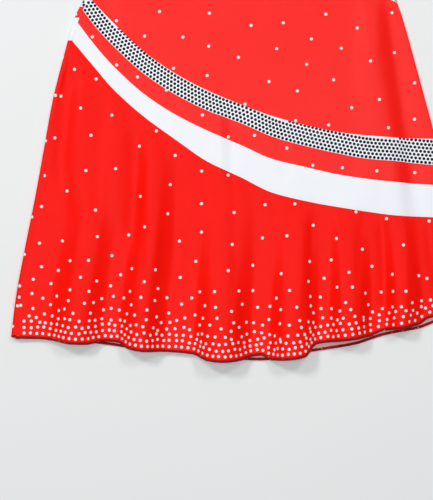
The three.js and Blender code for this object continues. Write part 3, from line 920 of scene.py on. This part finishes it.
def make_hem(sheet, side, count, hem):
    """The rolled hem: a round edge, slightly uneven, ridged by its overlock thread."""
    half = HEM_ROLL / 2
    face = np.interp(np.linspace(0, len(FLUTED) - 1, count), np.arange(len(FLUTED)), FLUTED)
    columns = sheet.columns(face)

    def middle(column):
        return sheet.point(column, sheet.crossing(column, half, hem, half * ROLL_WIDENING), half)

    centre = middle(columns)
    along = unit(middle(columns + COLUMN_STEP) - middle(columns - COLUMN_STEP))
    across = unit(np.cross(sheet.normal(columns, centre[:, 1], half), along))
    up = np.cross(along, across)
    reached = walked_along(centre)
    angle = 2 * np.pi * np.arange(ROLL_SIDES) / ROLL_SIDES
    twist = 2 * np.pi * reached[:, None] / THREAD_PITCH + angle[None, :]
    uneven = 0.05 * np.sin(reached * 0.7) + 0.04 * np.sin(reached * 1.9 + 1)
    radius = half - THREAD_HEIGHT + uneven[:, None] + THREAD_HEIGHT * np.sin(twist)
    points = (
        centre[:, None, :] + across[:, None, :] * (ROLL_WIDENING * radius * np.cos(angle))[..., None]
        + up[:, None, :] * (radius * np.sin(angle))[..., None]
    )
    m = len(columns)
    ids = np.arange(m * ROLL_SIDES).reshape(m, ROLL_SIDES)
    nxt = np.roll(ids, -1, axis=1)
    walls = np.stack([ids[:-1], nxt[:-1], nxt[1:], ids[1:]], -1).reshape(-1, 4).tolist()
    ends = [ids[0][::-1].tolist(), ids[-1].tolist()]
    piece = new_object(f"{side}_rolled_hem", points.reshape(-1, 3), walls + ends, [material("hem")], sharp=80)
    return finish_piece(piece, "hem_overlock", f"{side}_hem")


def offset_line(line, distance):
    """A line in the plane moved to its left by distance."""
    direction = unit(np.gradient(line, axis=0))
    return line + distance * np.stack([-direction[:, 1], direction[:, 0]], axis=1)


def column_at(sheet, x, y):
    """The column of a point on a sheet's face."""
    start, end = sheet.point(np.zeros_like(x), y, CLOTH_HALF), sheet.point(np.ones_like(x), y, CLOTH_HALF)
    return (x - start[:, 0]) / (end[:, 0] - start[:, 0])


TURNED_EDGE = 12.0  # depth of the turned neck and armhole edges
STITCH_LINES = (8.5, 11.5)
STITCH_SPACE = 3.4
STITCH_RADIUS = 0.28
STITCH_SIDES = 6
STITCH_PROFILE = [(-1, 0.25), (-0.7, 0.9), (0, 1.0), (0.7, 0.9), (1, 0.25)]  # place along it, and girth


def trimmed_edges(sheet, depth):
    """The neck and armhole edges of a bodice piece, each with its cloth on the right hand."""
    share = 0.5 + NECK_SHARE / 2 * np.sin(np.linspace(-np.pi / 2, np.pi / 2, 161))
    y = np.linspace(UNDERARM, SHOULDER_TOP - SHOULDER_DROP, 120)
    neck = sheet.point(share, neck_or_shoulder(share, depth), CLOTH_HALF)
    left, right = (sheet.point(np.full_like(y, column), y, CLOTH_HALF) for column in (0.0, 1.0))
    return [neck[:, :2], left[:, :2], right[::-1, :2]]


def stitch(base, ahead, beside, normal, half_length):
    """The points of one stitch: rings of thread, thin at its two ends."""
    points = []
    for share, girth in STITCH_PROFILE:
        centre = base + ahead * share * half_length + normal * (CLOTH_HALF + 0.05)
        for turn in range(STITCH_SIDES):
            a = 2 * np.pi * turn / STITCH_SIDES
            ring = beside * np.cos(a) + normal * np.sin(a) * 0.8
            points.append(centre + ring * STITCH_RADIUS * girth)
    return points


def stitch_faces():
    n, last = STITCH_SIDES, (len(STITCH_PROFILE) - 1) * STITCH_SIDES
    walls = [
        [r + turn, r + turn + n, r + (turn + 1) % n + n, r + (turn + 1) % n]
        for r in range(0, last, n) for turn in range(n)
    ]
    return walls + [list(range(n)), list(range(last, last + n))[::-1]]


def stitches(name, sheet, depth):
    """Two rows of cover stitches along each turned edge."""
    half_length = sizes().stitch_length / 2
    points, faces, pattern = [], [], stitch_faces()
    for line in trimmed_edges(sheet, depth):
        for inset in STITCH_LINES:
            moved = offset_line(line, -inset)
            reached = walked_along(moved)
            at = np.arange(STITCH_SPACE, reached[-1] - STITCH_SPACE, STITCH_SPACE)
            x, y = np.interp(at, reached, moved[:, 0]), np.interp(at, reached, moved[:, 1])
            column = column_at(sheet, x, y)
            inside = (column > 0.01) & (column < 0.99) & (y < SHOULDER_TOP - 6)
            x, y, column, at = x[inside], y[inside], column[inside], at[inside]
            ahead_x = np.interp(at + 0.5, reached, moved[:, 0]) - x
            ahead_y = np.interp(at + 0.5, reached, moved[:, 1]) - y
            ahead = unit(np.stack([ahead_x, ahead_y, np.zeros_like(x)], axis=1))
            base, normal = sheet.point(column, y, CLOTH_HALF), sheet.normal(column, y, CLOTH_HALF)
            beside = np.cross(normal, ahead)
            for k in range(len(x)):
                faces += [[len(points) + corner for corner in face] for face in pattern]
                points += stitch(base[k], ahead[k], beside[k], normal[k], half_length)
    piece = new_object(name, np.array(points), faces, [material("thread")], sharp=80)
    return finish_piece(piece, "red_knit")


def turned_edge(panel, sheet, depth):
    """Which faces of a bodice piece lie on its turned neck and armhole edges."""
    middle = (panel.points[:-1, :-1] + panel.points[1:, 1:])[..., :2] / 2
    near = np.full(middle.shape[:2], np.inf)
    for line in trimmed_edges(sheet, depth):
        for point in line[::2]:
            near = np.minimum(near, np.hypot(middle[..., 0] - point[0], middle[..., 1] - point[1]))
    return near < TURNED_EDGE


# Operators, one for each piece or group of like pieces

class DRESS_OT_stage(bpy.types.Operator):
    """Set the pale table, the soft lights and the camera straight above the skirt"""

    bl_idname = "dress.stage"
    bl_label = "Stage"

    def execute(self, context):
        make_floor()
        make_lights()
        make_camera()
        return {"FINISHED"}


class DRESS_OT_back(bpy.types.Operator):
    """Make the back: body, bands and flounce, lying flat"""

    bl_idname = "dress.back"
    bl_label = "Back"

    def execute(self, context):
        body = bodice_panel(BACK, neck_columns(50, 30), 110, 70, back_edge["dots"], BACK_NECK_DEPTH)
        places = scatter(body, even_space, seed=21, tries=5000, margin=3)
        dots = print_dots("back_body_dots", body, places, **WHITE_DOT)
        sewing = stitches("back_edge_stitches", BACK, BACK_NECK_DEPTH)
        turned = turned_edge(body, BACK, BACK_NECK_DEPTH)
        body.make("back_body", "red_knit", "red", "inside", ["table_top"], [dots, sewing], turned)
        make_bands(BACK, back_edge, "back", ["table_top"])
        make_flounce(BACK, "back", BACK_FINE, back_hem, back_edge["flounce"], 31, ["table_top"])
        return {"FINISHED"}


class DRESS_OT_front_top(bpy.types.Operator):
    """Make the front bodice with its neck and armholes, and the dotted sash"""

    bl_idname = "dress.front_top"
    bl_label = "Front top and sash"

    def execute(self, context):
        top = bodice_panel(FRONT, neck_columns(56, 34), 50, 80, sash_upper, FRONT_NECK_DEPTH)
        places = scatter(top, even_space, seed=11, tries=5000, margin=3)
        dots = print_dots("front_top_dots", top, places, **WHITE_DOT)
        sewing = stitches("front_edge_stitches", FRONT, FRONT_NECK_DEPTH)
        top.make("front_top", "red_knit", "red", "inside", ["back_body_cloth"], [dots, sewing])
        sash = Panel(FRONT, FACE_FINE, ROWS["sash"], sash_lower, sash_upper)
        navy = print_dots("sash_navy_dots", sash, band_dots(sash, sizes().band_pitch), **NAVY_DOT)
        sash.make("front_sash", "dotted_knit", "ground", "pale_inside", ["back_body_cloth"], [navy])
        return {"FINISHED"}


class DRESS_OT_front_body(bpy.types.Operator):
    """Make the red front panel with its soft folds, and the three curved bands"""

    bl_idname = "dress.front_body"
    bl_label = "Front body and bands"

    def execute(self, context):
        body = Panel(FRONT, FACE_FINE, ROWS["body"], front_edge["dots"], sash_lower)
        places = scatter(body, even_space, seed=3, tries=6000, margin=2)
        dots = print_dots("front_body_dots", body, places, **WHITE_DOT)
        body.make("front_body", "red_knit", "red", "inside", ["back_body_cloth"], [dots])
        make_bands(FRONT, front_edge, "front", ["back_body_cloth"])
        return {"FINISHED"}


class DRESS_OT_front_flounce(bpy.types.Operator):
    """Make the fluted front flounce with its dotted edge"""

    bl_idname = "dress.front_flounce"
    bl_label = "Front flounce"

    def execute(self, context):
        make_flounce(FRONT, "front", FLUTED, front_hem, front_edge["flounce"], 41, ["back_flounce_cloth"])
        return {"FINISHED"}


class DRESS_OT_hems(bpy.types.Operator):
    """Make the two rolled and overlocked hems"""

    bl_idname = "dress.hems"
    bl_label = "Rolled hems"

    def execute(self, context):
        make_hem(FRONT, "front", 1500, front_hem)
        make_hem(BACK, "back", 1300, back_hem)
        return {"FINISHED"}


class DRESS_PT_panel(bpy.types.Panel):
    bl_idname = "DRESS_PT_panel"
    bl_label = "Cheerleader dress"
    bl_space_type = "VIEW_3D"
    bl_region_type = "UI"
    bl_category = "Dress"

    def draw(self, context):
        column = self.layout.column()
        for group in (context.scene.dress_colours, context.scene.dress_sizes):
            for name in group.__annotations__:
                column.prop(group, name)
        for operator in OPERATORS:
            column.operator(operator.bl_idname)


# Stage

TABLE_COLOUR = (0.80, 0.815, 0.81)
TABLE_SIZE = 8.0
AIR_COLOUR = (0.95, 0.97, 1.0)
AIR_STRENGTH = 0.26
LIGHTS = table("name place size power", [
    ("upper_left_light", (-1.3, 1.0, 1.9), 0.6, 23),
    ("upper_right_light", (1.0, 1.1, 1.9), 0.6, 12),
    ("front_light", (-0.1, -0.3, 2.5), 0.8, 25),
])


def make_floor():
    mesh = bpy.data.meshes.new("table_top")
    reach = TABLE_SIZE / 2
    corners = [(-reach, -reach, 0), (reach, -reach, 0), (reach, reach, 0), (-reach, reach, 0)]
    mesh.from_pydata(corners, [], [(0, 1, 2, 3)])
    add_object("table_top", mesh)
    s = Shader("table_paint")
    cloudy = s.noise(3, 2)
    colour = s.blend(cloudy, darker(TABLE_COLOUR, 0.985), TABLE_COLOUR)
    mesh.materials.append(s.surface(base_color=colour, roughness=0.6, specular_ior_level=0.2))


def area_light(name, place, aim, size, power):
    light = bpy.data.lights.new(name, "AREA")
    light.shape, light.size, light.energy = "DISK", size, power
    lamp = add_object(name, light)
    lamp.location = place
    lamp.rotation_euler = (Vector(aim) - Vector(place)).to_track_quat("-Z", "Y").to_euler()


def make_lights():
    aim = (PHOTO_MIDDLE[0] * MM, PHOTO_MIDDLE[1] * MM, 0)
    for light in LIGHTS:
        area_light(light["name"], light["place"], aim, light["size"], light["power"])
    world = bpy.data.worlds.new("studio")
    world.use_nodes = True
    background = world.node_tree.nodes["Background"]
    background.inputs["Color"].default_value = (*AIR_COLOUR, 1)
    background.inputs["Strength"].default_value = AIR_STRENGTH
    bpy.context.scene.world = world
    bpy.context.scene.view_settings.view_transform = "Standard"


LENS = 100.0
SENSOR = 36.0


def make_camera():
    data = bpy.data.cameras.new("camera")
    data.lens, data.sensor_width = LENS, SENSOR
    camera = add_object("camera", data)
    long_side = PHOTO_SIZE[1] * PHOTO_SCALE * MM
    camera.location = (PHOTO_MIDDLE[0] * MM, PHOTO_MIDDLE[1] * MM, long_side * LENS / SENSOR)
    bpy.context.scene.camera = camera


OPERATORS = (
    DRESS_OT_stage, DRESS_OT_back, DRESS_OT_front_top, DRESS_OT_front_body,
    DRESS_OT_front_flounce, DRESS_OT_hems,
)
CLASSES = (DressColours, DressSizes, *OPERATORS, DRESS_PT_panel)


def register():
    for cls in CLASSES:
        bpy.utils.register_class(cls)
    bpy.types.Scene.dress_colours = bpy.props.PointerProperty(type=DressColours)
    bpy.types.Scene.dress_sizes = bpy.props.PointerProperty(type=DressSizes)


def unregister():
    del bpy.types.Scene.dress_sizes
    del bpy.types.Scene.dress_colours
    for cls in reversed(CLASSES):
        bpy.utils.unregister_class(cls)


def main():
    register()
    bpy.ops.dress.stage()
    bpy.ops.dress.back()
    bpy.ops.dress.front_top()
    bpy.ops.dress.front_body()
    bpy.ops.dress.front_flounce()
    bpy.ops.dress.hems()


if __name__ == "__main__":
    main()
